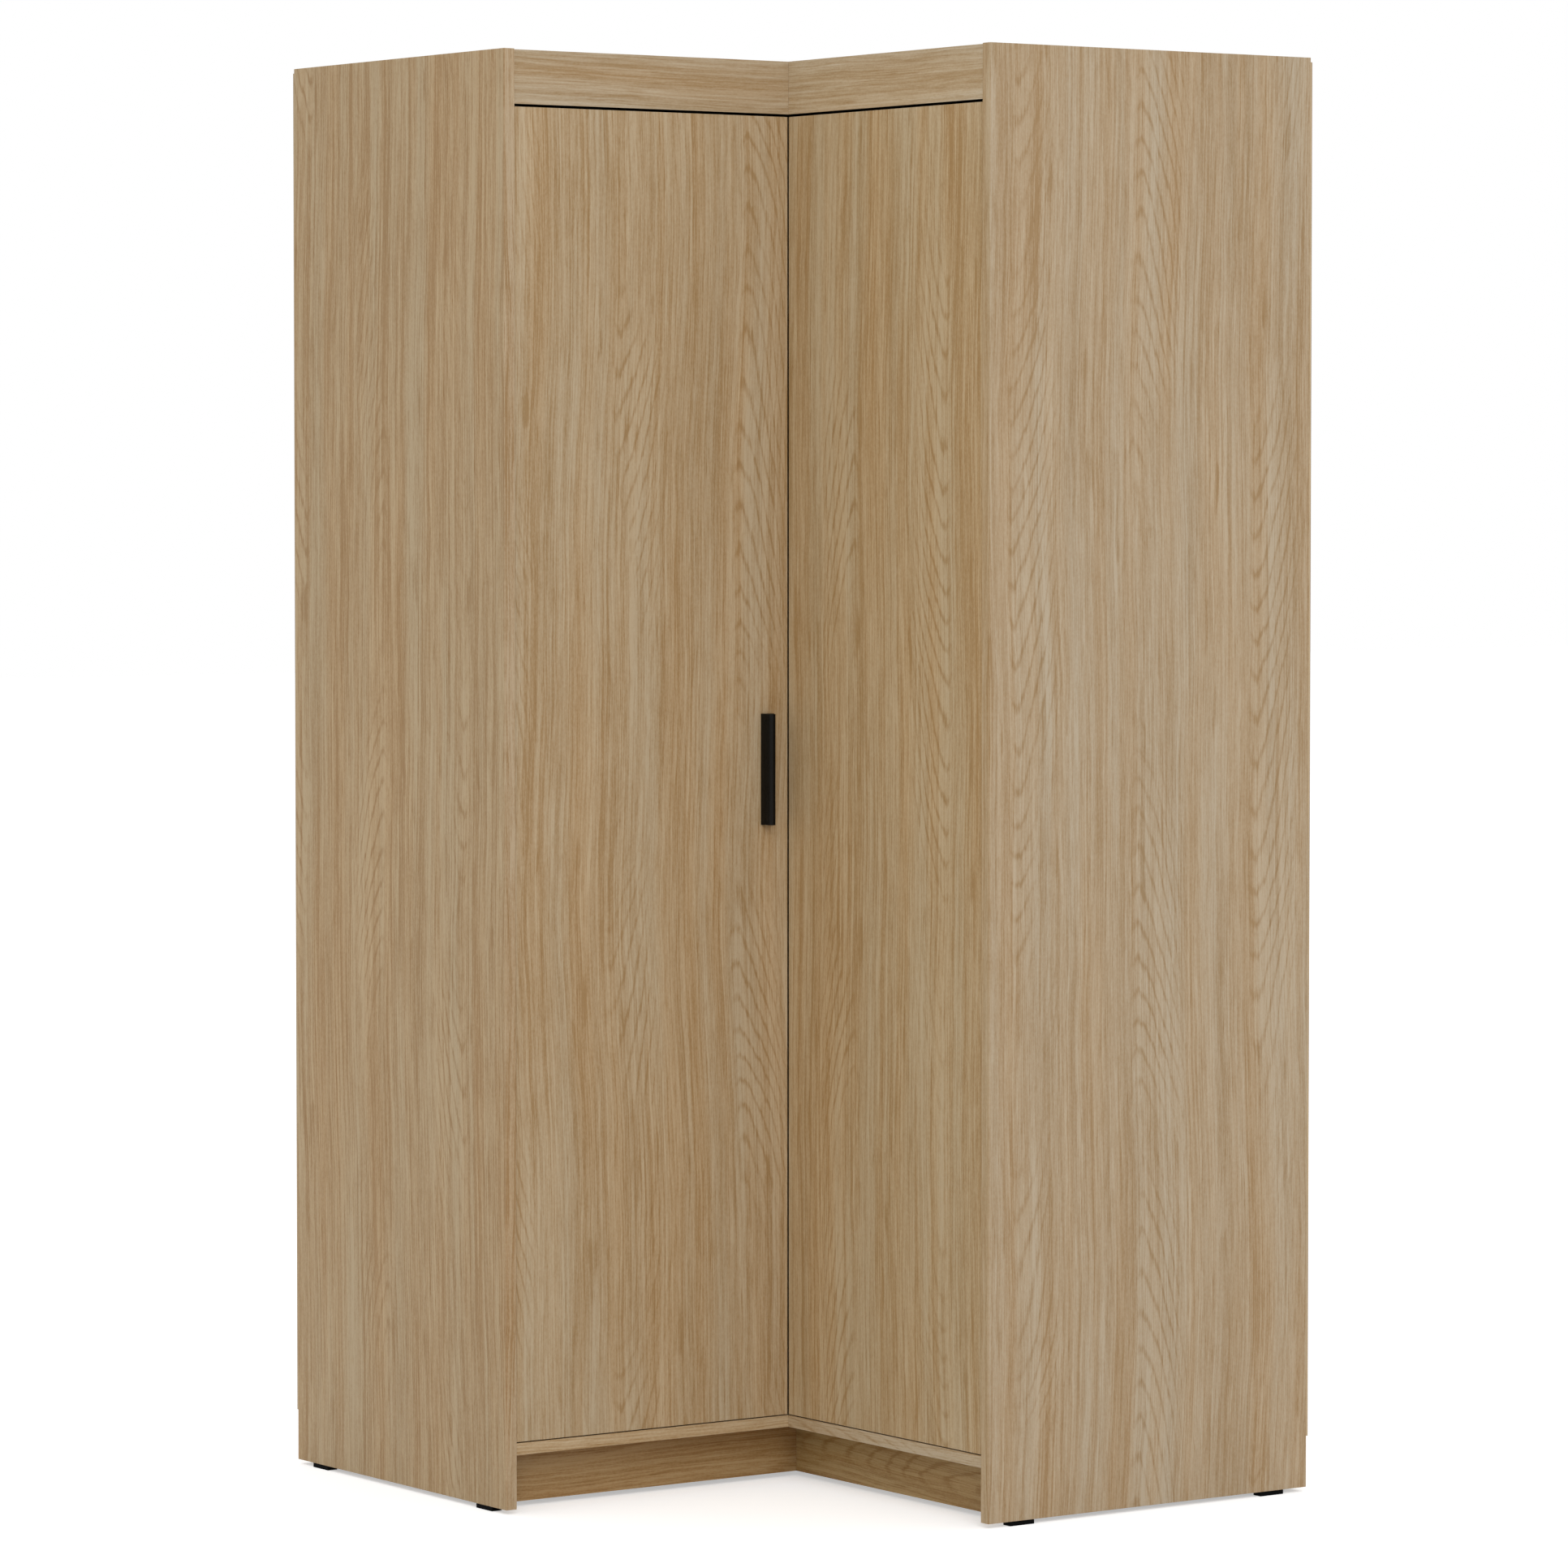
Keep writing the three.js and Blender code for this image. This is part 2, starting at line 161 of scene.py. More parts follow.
# name: place, side of the square, power in watts
lamps = {"key_lamp": ((-4.5, -8.3, 6.4), 6.0, 440), "rear_lamp": ((5.5, 7.0, 9.5), 5.0, 260)}
for name, (place, size, power) in lamps.items():
    data = bpy.data.lights.new(name, "AREA")
    data.shape, data.size, data.energy = "SQUARE", size, power
    lamp = bpy.data.objects.new(name, data)
    lamp.location = place
    way = np.subtract(lamp_target, place)
    fall = math.atan2(math.hypot(way[0], way[1]), -way[2])
    lamp.rotation_euler = (fall, 0, math.atan2(way[1], way[0]) - math.pi / 2)
    lamp.visible_camera = False
    bpy.context.scene.collection.objects.link(lamp)

# Oak melamine.
# Every board is chipboard with a printed oak face: plain-sawn leaves side by side, with long
# cathedral arches between straight fine grain, pale greige and pinkish bands and dark pore dashes.
grain_axes = {"X": ("Y", "Z"), "Y": ("X", "Z"), "Z": ("X", "Y")}
leaf_width, heart_share = 0.2, 0.38
# how round an arch's tip is, as an area, and the slopes of its sides near the heart and far off
heart_blunt = 0.00003
near_slope, far_slope = 0.5, 6.0
arch_slope = 0.3
ring_step, ring_dark_share = 0.0145, 0.42
# the distances from a heart line over which the figure sets in, and fades from 1 to its last share
figure_start = (-0.016, 0.004)
figure_end = (0.045, 0.09, 1.0, 0.1)
# the levels of its patches, and the least and the most that they let through
figure_patches = (-0.06, 0.10, 0.12, 1.0)
# Layers of noise. Each row: the changes per metre, or per leaf, along its two coordinates, seed,
# octaves, roughness, and the two levels between which it rises from 0 to 1, where it does.
layers = {
    "sway": (1.1, 0.6, 3.1, 1.0, 0.5, None),
    "ripple": (30.0, 7.0, 7.7, 2.0, 0.5, None),
    "teeth": (230.0, 8.0, 8.8, 2.0, 0.5, None),
    "climb": (2.6, 5.3, 11.3, 1.0, 0.5, None),
    "jitter": (60.0, 5.0, 1.9, 1.0, 0.5, None),
    "figure": (6.0, 2.4, 5.2, 1.0, 0.5, None),
    "patch": (110.0, 10.0, 17.7, 2.0, 0.5, None),
    "flame": (75.0, 9.0, 19.3, 1.0, 0.5, (0.16, 0.28)),
    "fibre": (780.0, 26.0, 9.4, 2.0, 0.6, None),
    "grit": (520.0, 230.0, 21.7, 1.0, 0.5, None),
    "thread": (420.0, 2.4, 4.9, 2.0, 0.5, (-0.13, 0.13)),
    "streak": (150.0, 2.0, 2.3, 2.0, 0.5, (-0.14, 0.14)),
    "fleck": (190.0, 9.0, 12.7, 1.0, 0.5, (0.05, 0.17)),
    "band": (34.0, 1.2, 6.6, 2.0, 0.5, None),
    "cast": (19.0, 0.9, 15.1, 1.0, 0.5, None),
    "pore": (620.0, 30.0, 4.4, 1.0, 0.5, (0.10, 0.22)),
}
# how far a layer moves the leaves and rings, in metres
bends = {"sway": 0.06, "ripple": 0.009, "teeth": 0.018, "climb": 0.07, "jitter": 0.005}
# how much a layer lightens the print
shades = {"patch": 0.42, "flame": -0.40, "fibre": 1.15, "grit": 0.6, "thread": 0.42,
          "streak": 0.30, "fleck": 0.22, "band": 1.00}
# how much the threads slant, and how far the streaks jump from leaf to leaf
thread_slant, streak_step = 5.0, 7.7
# how much the rings about their mean level, the figure and the whole print are lightened
ring_level, ring_shade, figure_shade, base_shade = 0.76, 0.58, 0.06, -0.41
middle = 0.5
dark_tint, light_tint = (0.78, 0.69, 0.54), (1.16, 1.25, 1.40)
cool_tint, warm_tint = (0.97, 1, 1.04), (1.03, 1, 0.96)
cast_warmth, band_warmth = 2.0, 1.8
pore_tint, pore_shade = (0.84, 0.77, 0.66), 0.7
emboss_strength, emboss_depth, pore_sink = 0.12, 0.0004, 0.4
oak_rough, fibre_rough, pore_rough = 0.46, 0.16, 0.12
oak_gloss = 0.3


def ease(value, low, high, out_low=0.0, out_high=1.0):
    """A smooth rise from out_low to out_high while the value goes from low to high."""
    inputs = {"Value": value, 1: low, 2: high, 3: out_low, 4: out_high}
    return value.node("MapRange", {"interpolation_type": "SMOOTHSTEP"}, inputs)


def mix(w, share, first, second, blend="MIX"):
    """Blends two colours, each a wire or plain red, green and blue, by the share of the second."""
    first, second = [c if isinstance(c, Wire) else (*c, 1) for c in (first, second)]
    settings = {"data_type": "RGBA", "blend_type": blend}
    return w.node("Mix", settings, {0: share, 6: first, 7: second}, 2)


def tinted(tone, tint):
    """A tone times a number, or times a tint part by part."""
    return tuple(np.multiply(tone, tint).tolist())


def relief(height, strength, depth):
    """A surface direction that follows a height, whose full range is as deep as given."""
    return height.node("Bump", inputs={"Strength": strength, "Distance": depth, "Height": height})


def layer(name, u, v, shift=None):
    """A layer of noise at two coordinates times its rates, the second one moved by a shift."""
    u_rate, v_rate, seed, octaves, rough, limits = layers[name]
    u, v = u * u_rate, v * v_rate
    v = v + shift if shift else v
    inputs = {"Vector": u.node("CombineXYZ", inputs={"X": u, "Y": v, "Z": seed})}
    inputs |= {"Scale": 1.0, "Detail": octaves, "Roughness": rough}
    value = u.node("TexNoise", {"noise_dimensions": "3D"}, inputs) - middle
    return ease(value, *limits) if limits else value


def bend(name, u, v):
    """A layer of noise times the distance that it moves things."""
    return layer(name, u, v) * bends[name]


def arches(s, t, leaf, heart):
    """The rings of plain-sawn leaves at s across and t along the grain, 0 on a dark line and 1
    beside it. They are levels of the distance from the heart line, half of it plus six times its
    square, added to a steady climb along the board, so they arch at the heart and straighten
    beside it. Every second leaf climbs the other way."""
    way = 1 - leaf.math("MODULO", leaf, 2.0) * 2
    climb = (t + bend("teeth", s, t)) * way * arch_slope + bend("climb", t, leaf)
    place = heart.math("SQRT", heart * heart + heart_blunt) * near_slope
    place = place + heart * heart * far_slope + climb + bend("jitter", s, t)
    half_step = ring_step / 2
    return ease(place.math("PINGPONG", place, half_step) / half_step, 0.0, ring_dark_share)


def oak(name, along, tone, start, contrast=1.0, edge_tape_and_shade=None):
    """Oak with its grain along one axis, cut from the printed sheet at a start. The coordinate
    across the grain is s, and the one along it is t. A leaf's number is s with its sway over the
    leaf's width, rounded down. Lightness is the sum of the arches, where the figure shows beside
    each heart, and of the layers by their shades. It picks a colour between the dark and the light
    tint of the tone, and bands and pores tint it again.
    The last argument names the axis, place and tint of an edge strip: tape on the end panels,
    and on the rails' lower edges near-black painted shade."""
    material, w = new_material(name)
    parts = w.node("SeparateXYZ", inputs={"Vector": w.node("TexCoord", out="Object")}, out="X")
    axis = {"X": parts, "Y": parts.pick("Y"), "Z": parts.pick("Z")}
    first, second = grain_axes[along]
    s, t = axis[first] + axis[second] + start[0], axis[along] + start[1]
    wide = s + (bend("sway", t, s) + bend("ripple", s, t))
    leaf = w.math("FLOOR", wide / leaf_width)
    heart = wide - leaf * leaf_width - leaf_width * heart_share
    figure = ease(heart, *figure_start) * ease(heart, *figure_end)
    figure = figure * ease(layer("figure", s, t), *figure_patches)
    seen = {shade: layer(shade, s, t) for shade in ("fibre", "grit", "pore")}
    seen |= {shade: layer(shade, wide, t) for shade in ("patch", "flame", "fleck", "band", "cast")}
    seen["thread"] = layer("thread", wide, t, s * thread_slant)
    seen["streak"] = layer("streak", wide, t, leaf * streak_step)
    lift = (arches(s, t, leaf, heart) - ring_level) * figure * ring_shade
    lift = lift + figure * figure_shade + base_shade
    for shade, strength in shades.items():
        lift = lift + seen[shade] * strength
    stops = [(0.0, tinted(tone, dark_tint)), (middle, tone), (1.0, tinted(tone, light_tint))]
    colour = w.node("ValToRGB", {"stops": stops}, {"Fac": lift * contrast + middle})
    warmth = seen["cast"] * cast_warmth - seen["band"] * band_warmth + middle
    colour = mix(w, 1.0, colour, mix(w, warmth, cool_tint, warm_tint), "MULTIPLY")
    colour = mix(w, seen["pore"] * pore_shade, colour, pore_tint, "MULTIPLY")
    if edge_tape_and_shade:
        edge_axis, edge_place, edge_tint = edge_tape_and_shade
        on_edge = w.math("LESS_THAN", axis[edge_axis], edge_place)
        colour = mix(w, on_edge, colour, edge_tint, "MULTIPLY")
    inputs = {
        "Base Color": colour,
        "Roughness": seen["fibre"] * fibre_rough + oak_rough + seen["pore"] * pore_rough,
        "Normal": relief(seen["fibre"] - seen["pore"] * pore_sink, emboss_strength, emboss_depth),
        "Specular IOR Level": oak_gloss,
    }
    finish_with(w.node("BsdfPrincipled", inputs=inputs))
    return material


weld_reach = 1e-5
sharp_angle = math.radians(40)


def paint(piece, material):
    """Gives a piece one material all over."""
    piece.data.materials.clear()
    piece.data.materials.append(material)


def dress(names, material, width, segments=2):
    """Paints CAD nodes, joins their loose triangles and rounds their sharp edges a little."""
    for name in names:
        paint(nodes[name], material)
        nodes[name].modifiers.new("join", "WELD").merge_threshold = weld_reach
        bevel = nodes[name].modifiers.new("round", "BEVEL")
        bevel.width, bevel.segments = width, segments
        bevel.limit_method, bevel.angle_limit = "ANGLE", sharp_angle


board_round = 0.0004
inner_tone = (0.405, 0.296, 0.177)
# Painted light: these tones are lit and shaded copies of one oak. The two arms' end panels, doors
# and rails are lightened or darkened as painted light and shade for the way their faces turn to
# the lamps. The bottom board is lightened, and the front plinths are darker and warmer as painted
# shade under the bottom board's overhang.
left_end_tone, right_end_tone = (0.378, 0.257, 0.131), (0.380, 0.277, 0.168)
left_door_tone, right_door_tone = (0.390, 0.277, 0.157), (0.426, 0.301, 0.163)
left_rail_tone, right_rail_tone = (0.385, 0.285, 0.174), (0.445, 0.342, 0.216)
left_plinth_painted_shade_tone, right_plinth_painted_shade_tone = (0.339, 0.201, 0.080), (0.360, 0.226, 0.086)
bottom_tone = (0.425, 0.311, 0.184)
# The rails' lower edges get a near-black strip: painted shade standing in for the dark slot over
# the doors.
rail_bottom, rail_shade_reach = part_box("top_rail_left")[0][2], 0.0001
rail_painted_shade = ("Z", rail_bottom + rail_shade_reach, (0.02, 0.02, 0.02))
end_front, end_tape_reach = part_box("left_end_panel")[0][1], 0.0002
left_end_tape = ("Y", end_front + end_tape_reach, (1.00, 1.02, 1.13))
right_end_tape = ("X", end_front + end_tape_reach, (1.09, 1.07, 1.00))
# name: grain axis, tone, where on the printed sheet the board was cut, the strength of the grain,
# and the strip on one edge: tape on the end panels, near-black painted shade under the rails
oak_boards = {
    "left_end_panel": ("Z", left_end_tone, (0.71, 4.2), 1.25, left_end_tape),
    "right_end_panel": ("Z", right_end_tone, (1.17, 9.6), 0.88, right_end_tape),
    "left_door": ("Z", left_door_tone, (2.63, 13.4), 0.98),
    "right_door": ("Z", right_door_tone, (3.91, 17.9), 1.08),
    "top_rail_left": ("X", left_rail_tone, (5.003, 2.2), 0.8, rail_painted_shade),
    "top_rail_right": ("Y", right_rail_tone, (6.203, 5.5), 0.8, rail_painted_shade),
    "front_plinth_left": ("X", left_plinth_painted_shade_tone, (7.31, 1.4), 1.2),
    "front_plinth_right": ("Y", right_plinth_painted_shade_tone, (8.43, 3.8), 1.2),
    "bottom_board_long": ("X", bottom_tone, (9.13, 6.1)),
    "bottom_board_short": ("Y", bottom_tone, (10.7, 7.2)),
    "top_board_long": ("X", inner_tone, (11.9, 8.3)),
    "top_board_short": ("Y", inner_tone, (12.2, 9.4)),
    "hat_shelf_long": ("X", inner_tone, (13.6, 1.1)),
    "hat_shelf_short": ("Y", inner_tone, (14.8, 2.5)),
    "rear_plinth_left": ("X", inner_tone, (15.4, 3.3)),
    "rear_plinth_right": ("Y", inner_tone, (16.9, 4.7)),
    "corner_stile_left": ("Z", inner_tone, (17.3, 5.8)),
    "corner_stile_right": ("Z", inner_tone, (18.5, 6.9)),
}
for board, cut in oak_boards.items():
    dress([board], oak("oak_" + board, *cut), board_round)

# Thin backs.
# Two 3 mm hardboard sheets nailed on behind: a pale oak print faces the room inside, and the
# outside is raw brown pressed fibre with short flecks.
back_low, back_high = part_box("left_back_panel")
raw_skin, back_round = 0.0009, 0.0003
print_tone, print_dark, print_light = (0.46, 0.345, 0.205), 0.82, 1.16
raw_tone, raw_dark, raw_light = (0.25, 0.152, 0.083), 0.70, 1.30
print_rates, print_contrast = (300.0, 300.0, 9.0), 1.8
fleck_rate, fleck_contrast, fleck_depth, fleck_relief = 420.0, 1.7, 0.0003, 0.25
mottle_rate, mottle_contrast = 22.0, 0.8
print_rough, raw_rougher, fleck_rough = 0.55, 0.22, 0.1


def cloud(w, place, rate, octaves):
    """Noise about zero that changes so many times per metre."""
    inputs = {"Vector": place, "Scale": rate, "Detail": octaves}
    return w.node("TexNoise", inputs=inputs) - middle


def drawn_cloud(w, place, rates, octaves):
    """The same noise with its own changes per metre along each axis."""
    return cloud(w, w.node("Mapping", inputs={"Vector": place, "Scale": rates}), 1.0, octaves)


def hardboard(name, depth_axis):
    """Pressed fibre board. It has the raw colour and gloss in its outer skin, where the coordinate
    through it is past the outer face less the skin's depth, and the printed ones before that."""
    material, w = new_material(name)
    place = w.node("TexCoord", out="Object")
    depth = w.node("SeparateXYZ", inputs={"Vector": place}, out=depth_axis)
    raw = w.math("GREATER_THAN", depth, back_high[1] - raw_skin)
    streaks = drawn_cloud(w, place, print_rates, octaves=3.0)
    flecks = cloud(w, place, fleck_rate, octaves=4.0)
    mottle = cloud(w, place, mottle_rate, octaves=2.0)
    pale = (tinted(print_tone, print_dark), tinted(print_tone, print_light))
    brown = (tinted(raw_tone, raw_dark), tinted(raw_tone, raw_light))
    printed = mix(w, streaks * print_contrast + middle, *pale)
    pressed = mix(w, flecks * fleck_contrast + mottle * mottle_contrast + middle, *brown)
    inputs = {
        "Base Color": mix(w, raw, printed, pressed),
        "Roughness": raw * raw_rougher + print_rough + flecks * fleck_rough,
        "Normal": relief(flecks * raw, fleck_relief, fleck_depth),
    }
    finish_with(w.node("BsdfPrincipled", inputs=inputs))
    return material


for side, depth_axis in (("left", "Y"), ("right", "X")):
    board = hardboard("hardboard_" + side, depth_axis)
    dress([side + "_back_panel"], board, back_round, segments=1)

# Low feet.
# Injection-moulded black plastic pads nailed under the panels and the rear plinths, with the fine
# dull texture of the mould on them.
dust_rate, dust_contrast, dust_rough, dust_tint = 35.0, 1.5, 0.15, 1.5
fine_rough, fine_relief = 0.2, 0.3


def dull_black(name, tone, rough, rate, depth, gloss):
    """Black with a fine even grain in its gloss and height, and faint dust in the colour."""
    material, w = new_material(name)
    place = w.node("TexCoord", out="Object")
    fine = cloud(w, place, rate, octaves=2.0)
    dust = cloud(w, place, dust_rate, octaves=3.0)
    inputs = {
        "Base Color": mix(w, dust * dust_contrast + middle, tone, tinted(tone, dust_tint)),
        "Roughness": fine * fine_rough + dust * dust_rough + rough,
        "Normal": relief(fine, fine_relief, depth),
        "Specular IOR Level": gloss,
    }
    finish_with(w.node("BsdfPrincipled", inputs=inputs))
    return material


foot_tone, foot_round = (0.002, 0.002, 0.002), 0.0012
foot_plastic = dull_black("foot_plastic", foot_tone, 0.62, rate=900.0, depth=0.0002, gloss=0.03)
dress([name for name in nodes.keys() if "foot" in name], foot_plastic, foot_round)

# Handle.
# One bent blade of cast metal beside the doors' meeting edge, satin black powder coat, screwed on
# through the door.
coat_tone, handle_round = (0.0022, 0.0018, 0.0013), 0.0010
handle_coat = dull_black("handle_coat", coat_tone, 0.31, rate=1800.0, depth=0.00004, gloss=0.15)
dress(["handle"], handle_coat, handle_round, segments=3)

# Hanging rods.
# Thin-walled steel tube, chrome-plated, dropped into a pressed socket on the end panel and through
# an eye bracket screwed up under the hat shelf.
dull_share, haze_rate = 0.82, 60.0
haze_contrast, draw_contrast, haze_wear = 1.4, 0.8, 0.7
draw_relief, draw_depth = 0.10, 0.0001


def plated(name, tone, rough, wear, rates):
    """Plated steel: drawn or rolled streaks and a slow cloud change how sharply it mirrors."""
    material, w = new_material(name)
    place = w.node("TexCoord", out="Object")
    drawn = drawn_cloud(w, place, rates, octaves=2.0)
    haze = cloud(w, place, haze_rate, octaves=3.0)
    shine = haze * haze_contrast + drawn * draw_contrast + middle
    inputs = {
        "Base Color": mix(w, shine, tinted(tone, dull_share), tone),
        "Metallic": 1.0,
        "Roughness": drawn * wear + haze * wear * haze_wear + rough,
        "Normal": relief(drawn, draw_relief, draw_depth),
    }
    finish_with(w.node("BsdfPrincipled", inputs=inputs))
    return material


chrome_tone, zinc_tone = (0.72, 0.72, 0.73), (0.60, 0.60, 0.59)
rod_round, fitting_round = 0.0002, 0.0004
for side, rates in (("left", (4.0, 700.0, 700.0)), ("right", (700.0, 4.0, 700.0))):
    chrome = plated("rod_chrome_" + side, chrome_tone, rough=0.10, wear=0.06, rates=rates)
    dress(["hanging_rod_" + side], chrome, rod_round)
rolled = (120.0, 120.0, 120.0)
fitting_zinc = plated("rod_fitting_zinc", zinc_tone, rough=0.34, wear=0.16, rates=rolled)
dress([name for name in nodes.keys() if name.startswith("rod_")], fitting_zinc, fitting_round)

# Door hinges.
# Nickel-plated pressed steel: a cup let into the door, a channel-shaped arm on a mounting plate,
# and a curved link between them. The rolled steel shows a faint cloud under the plating.
nickel_tone, nickel_rates = (0.63, 0.615, 0.58), (90.0, 90.0, 400.0)
hinge_round = 0.0003
nickel = plated("hinge_nickel", nickel_tone, rough=0.26, wear=0.12, rates=nickel_rates)
dress([name for name in nodes.keys() if "hinge" in name], nickel, hinge_round)

# Screws.
# Zinc-plated steel with a domed head and a cross recess. Two hold the handle from inside the door,
# two hold each hinge cup, two each mounting plate, and two adjust each hinge arm.
door_low, door_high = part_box("left_door")
hinge_x, hinge_y, door_foot = door_low
end_distance, hinges_per_door = 0.1, 4
hinge_levels = np.linspace(door_foot + end_distance, door_high[2] - end_distance, hinges_per_door)
head_points, head_sink = 24, 0.00002
cross_pinch = 0.62
screw_rates, screw_round = (500.0, 500.0, 500.0), 0.0005
screw_zinc = plated("screw_zinc", zinc_tone, rough=0.30, wear=0.14, rates=screw_rates)


def on_arm(side, point):
    """A point or a way on the left arm, or on the right arm its mirror image, x and y swapped."""
    x, y, z = point
    return (y, x, z) if side == "right" else (x, y, z)


def closed_surface(name, rings, body, material):
    """Turns rings of points, each a closed loop of the same count, into one mesh, with a fan at
    each end of every piece. rings has the shape (pieces, rings, points, 3)."""
    pieces, count, around, _ = rings.shape
    ends = rings[:, [0, -1]].mean(2)
    points = np.concatenate([rings.reshape(pieces, -1, 3), ends], 1)
    ring = np.arange(count - 1)[:, None] * around
    one, two = np.arange(around)[None, :], (np.arange(around)[None, :] + 1) % around
    sides = np.stack([ring + one, ring + two, ring + two + around, ring + one + around], -1)
    sides = sides.reshape(-1, 4)
    one, two = one[0], two[0]
    low, high = count * around, count * around + 1
    last = (count - 1) * around
    caps = np.concatenate([np.stack([two, one, one * 0 + low], -1),
                           np.stack([last + one, last + two, one * 0 + high], -1)])
    step = np.arange(pieces)[:, None, None] * points.shape[1]
    faces = (sides + step).reshape(-1, 4).tolist() + (caps + step).reshape(-1, 3).tolist()
    mesh = bpy.data.meshes.new(name)
    mesh.from_pydata(points.reshape(-1, 3).tolist(), [], faces)
    mesh.shade_smooth()
    piece = bpy.data.objects.new(name, mesh)
    bpy.context.scene.collection.objects.link(piece)
    paint(piece, material)
    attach(piece, body)


def turned_heads(side, seats, way, radius, height, profile):
    """Rings of round heads that sit on seats of an arm, a little sunk in, and face one way. Each
    profile row is (share of radius, share of height, cross). The radius at an angle is the row's
    radius, and where cross is 1 it is times one less the pinch times the squared sine of twice the
    angle. The ring lies that share of the height along the way, less the sink."""
    seats = np.array([on_arm(side, seat) for seat in seats])
    way, rows = np.array(on_arm(side, way), float), np.array(profile, float)
    across = np.cross((1, 0, 0) if way[2] else (0, 0, 1), way)
    up = np.cross(way, across)
    turn = np.arange(head_points) * (2 * math.pi / head_points)
    pinch = 1 - rows[:, 2:3] * cross_pinch * np.sin(2 * turn) ** 2
    reach = (rows[:, 0:1] * radius * pinch)[:, :, None]
    ring = across * (reach * np.cos(turn)[:, None]) + up * (reach * np.sin(turn)[:, None])
    rise = way * (rows[:, 1, None, None] * height - head_sink)
    return seats[:, None, None, :] + ring + rise


domed_cross = ((0.60, 0.0, 0), (1.0, 0.0, 0), (1.0, 0.35, 0), (0.95, 0.62, 0), (0.80, 0.85, 0),
               (0.62, 1.0, 0), (0.56, 1.0, 1), (0.50, 0.9, 1), (0.40, 0.25, 1), (0.15, 0.18, 1))
# name: body, way that the heads face, their radius and height, and their seats, counted from the
# hinge line and from the hinge's level
hinge_screws = {
    "cup_screws": ("door", (0, 1, 0), 0.0034, 0.0010,
                   ((0.0225, 0.017, -0.0215), (0.0225, 0.017, 0.0215))),
    "plate_screws": ("carcass", (1, 0, 0), 0.0038, 0.0011,
                     ((0.00245, 0.051, -0.016), (0.00245, 0.051, 0.016))),
    "adjusting_screws": ("carcass", (1, 0, 0), 0.0031, 0.0012,
                         ((0.012, 0.033, 0.0), (0.012, 0.066, 0.0))),
}
for side in ("left", "right"):
    for name, (body, way, radius, height, offsets) in hinge_screws.items():
        seats = [(hinge_x + x, hinge_y + y, level + z)
                 for level in hinge_levels for x, y, z in offsets]
        rings = turned_heads(side, seats, way, radius, height, domed_cross)
        body = f"{side}_door" if body == "door" else body
        closed_surface(f"{side}_{name}", rings, body, screw_zinc)
handle_screws = [name for name in nodes.keys() if name.startswith("handle_screw")]
dress(handle_screws, screw_zinc, screw_round)

# Rod fixings.
# Two zinc-plated screws through each rod socket into the end panel, and two up through each
# bracket's flange into the hat shelf.
rod_low, rod_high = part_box("hanging_rod_left")
rod_y, rod_z = (rod_low[1] + rod_high[1]) / 2, (rod_low[2] + rod_high[2]) / 2
socket_plate, socket_reach, socket_radius = 0.003, 0.0199, 0.0031
socket_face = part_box("rod_socket_left")[0][0] + socket_plate
socket_seats = [(socket_face, rod_y, rod_z + reach) for reach in (-socket_reach, socket_reach)]
flange_plate, flange_reach, flange_radius = 0.004, 0.022, 0.0032
bracket_low, bracket_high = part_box("rod_bracket_left")
flange_x, flange_face = (bracket_low[0] + bracket_high[0]) / 2, bracket_high[2] - flange_plate
flange_seats = [(flange_x, rod_y + reach, flange_face) for reach in (-flange_reach, flange_reach)]
fixing_height = 0.0011
for side in ("left", "right"):
    rings = turned_heads(side, socket_seats, (1, 0, 0), socket_radius, fixing_height, domed_cross)
    closed_surface(f"{side}_socket_screws", rings, "carcass", screw_zinc)
    rings = turned_heads(side, flange_seats, (0, 0, -1), flange_radius, fixing_height, domed_cross)
    closed_surface(f"{side}_bracket_screws", rings, "carcass", screw_zinc)

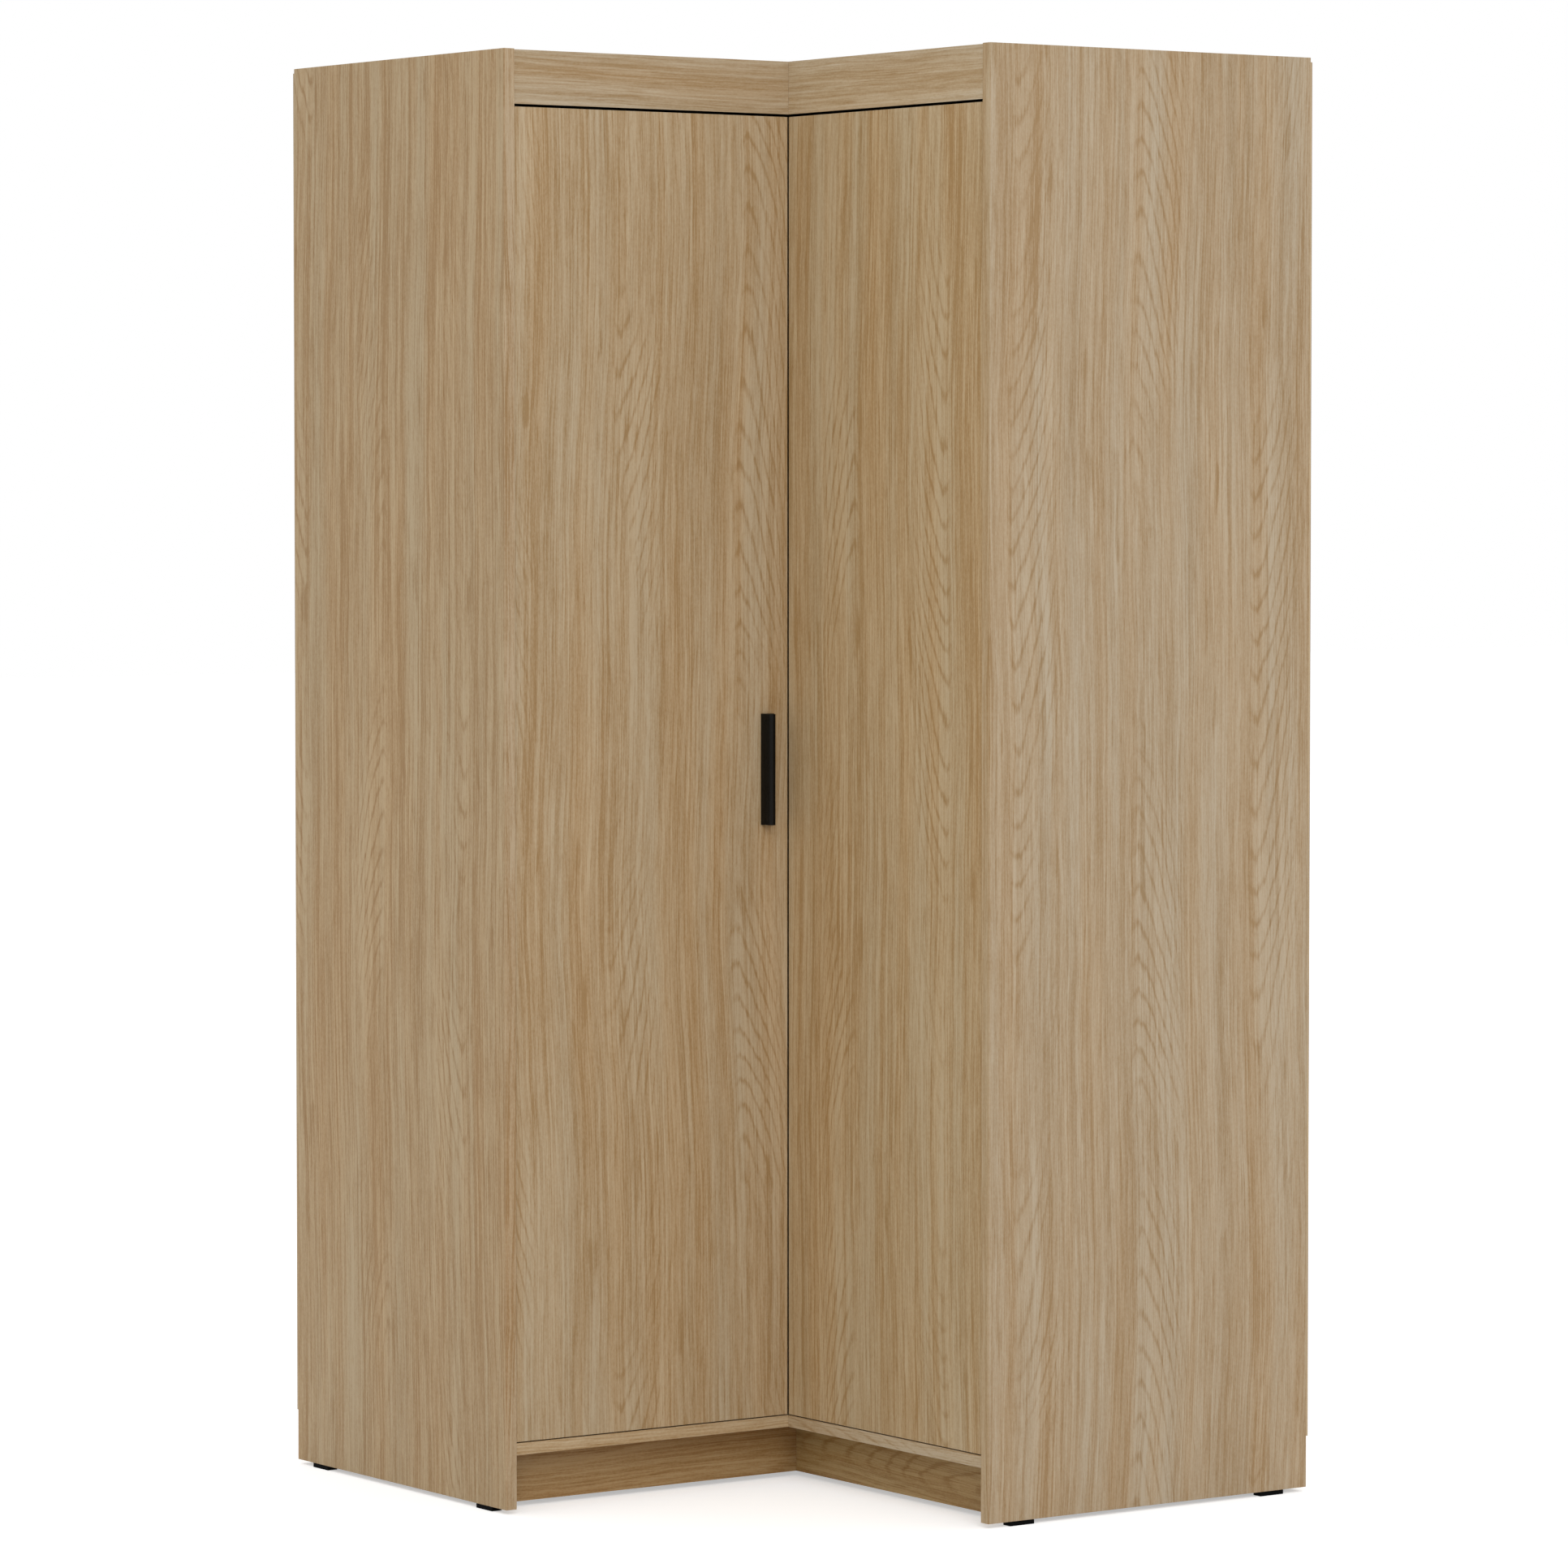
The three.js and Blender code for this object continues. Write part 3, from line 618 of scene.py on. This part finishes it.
# Back nails.
# Flat-headed zinc nails driven flush, about 125 mm apart, through each hardboard back into the end
# panel, the top and bottom boards and the corner stile.
nail_step, nail_depth = 0.125, 0.00003
foot_inset, head_inset, end_inset, corner_inset = 0.010, 0.005, 0.00775, 0.0085
nail_rows = (back_low[2] + foot_inset, back_high[2] - head_inset)
nail_columns = (back_low[0] + end_inset, back_high[0] - corner_inset)
nail_face = back_high[1] - nail_depth
nail_radius, nail_height = 0.0036, 0.0001
flat_dome = ((0.5, -1.0, 0), (1.0, -1.0, 0), (1.0, 0.4, 0), (0.9, 0.8, 0), (0.5, 1.0, 0))
run, rise = [np.linspace(low, high, round((high - low) / nail_step) + 1)
             for low, high in (nail_columns, nail_rows)]
seats = [(x, nail_face, z) for z in nail_rows for x in run]
seats += [(x, nail_face, z) for x in nail_columns for z in rise[1:-1]]
for side in ("left", "right"):
    rings = turned_heads(side, seats, (0, 1, 0), nail_radius, nail_height, flat_dome)[:, :, ::2]
    closed_surface(f"{side}_back_nails", rings, "carcass", screw_zinc)

# Cam covers.
# Oak-coloured plastic caps pressed over the cam locks that pull the hat shelf and the top board to
# the end panels, on their undersides.
cap_tone, cap_dim_share = (0.42, 0.30, 0.165), 0.88
cap_rate, cap_rough, cap_rough_spread = 160.0, 0.45, 0.2
cap_radius, cap_height = 0.0088, 0.0012
cap_inset, front_inset, rear_inset = 0.034, 0.055, 0.070
cap_profile = ((0.5, 0.0, 0), (1.0, 0.0, 0), (1.0, 0.3, 0), (0.94, 0.75, 0), (0.82, 0.97, 0),
               (0.6, 1.0, 0), (0.25, 0.98, 0), (0.12, 0.8, 0))
cap_plastic, w = new_material("cam_cover_plastic")
haze = cloud(w, w.node("TexCoord", out="Object"), cap_rate, octaves=2.0)
cap_colour = mix(w, haze + middle, tinted(cap_tone, cap_dim_share), cap_tone)
inputs = {"Base Color": cap_colour, "Roughness": haze * cap_rough_spread + cap_rough}
finish_with(w.node("BsdfPrincipled", inputs=inputs))
shelf_low, shelf_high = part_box("hat_shelf_long")
cap_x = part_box("left_end_panel")[1][0] + cap_inset
cap_rows = (shelf_low[1] + front_inset, shelf_high[1] - rear_inset)
cap_levels = (shelf_low[2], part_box("top_board_long")[0][2])
seats = [(cap_x, row, level) for row in cap_rows for level in cap_levels]
for side in ("left", "right"):
    rings = turned_heads(side, seats, (0, 0, -1), cap_radius, cap_height, cap_profile)
    closed_surface(f"{side}_cam_covers", rings, "carcass", cap_plastic)
